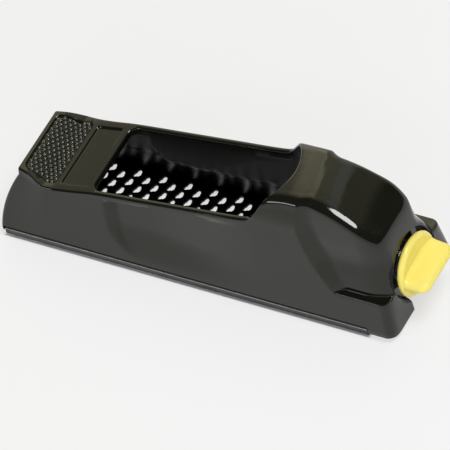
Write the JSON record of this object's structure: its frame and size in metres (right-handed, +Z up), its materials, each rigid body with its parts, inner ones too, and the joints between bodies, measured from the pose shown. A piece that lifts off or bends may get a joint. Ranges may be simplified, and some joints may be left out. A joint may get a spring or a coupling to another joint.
{
  "type": "rasp plane",
  "caption": "Small hand rasp plane: black cast body with open window and hump, perforated rasp blade beneath, yellow thumb knob that tensions the blade.",
  "frame": {"origin": "centre of the bounding box's base, at the tips of the blade's teeth", "axes": "+X from the toe with its thumb pad to the heel with its knob, +Z up from the cutting face, +Y across the tool"},
  "size_m": [0.1615, 0.042, 0.0516],
  "materials": {
    "enamel": "glossy black stoving enamel on a zinc die casting",
    "blade_steel": "dark oiled spring steel, pressed sheet",
    "yellow_plastic": "semi-gloss moulded plastic",
    "bright_steel": "bright zinc-plated steel"
  },
  "bodies": {
    "frame": {"body_casting": "enamel"},
    "blade": {"rasp_blade": "blade_steel"},
    "knob": {"thumb_knob": "yellow_plastic", "tension_screw": "bright_steel", "thrust_washer": "bright_steel", "retaining_clip": "bright_steel"},
    "claw": {"tension_claw": "bright_steel", "square_nut": "bright_steel"}
  },
  "joints": [
    {"name": "blade_swing", "type": "hinge", "parent": "frame", "child": "blade", "pos_m": [-0.0777, 0, 0.0045], "axis": [0, 1, 0], "range_deg": [0, 20]},
    {"name": "knob_turn", "type": "hinge", "parent": "frame", "child": "knob", "pos_m": [0.072, 0, 0.01755], "axis": [1, 0, 0], "range_deg": [0, 1080]},
    {"name": "claw_slide", "type": "slide", "parent": "frame", "child": "claw", "axis": [1, 0, 0], "range_m": [-0.003, 0]}
  ],
  "couplings": [
    {"joint": "claw_slide", "follows": "knob_turn", "m_per_rad": -0.00015915}
  ]
}
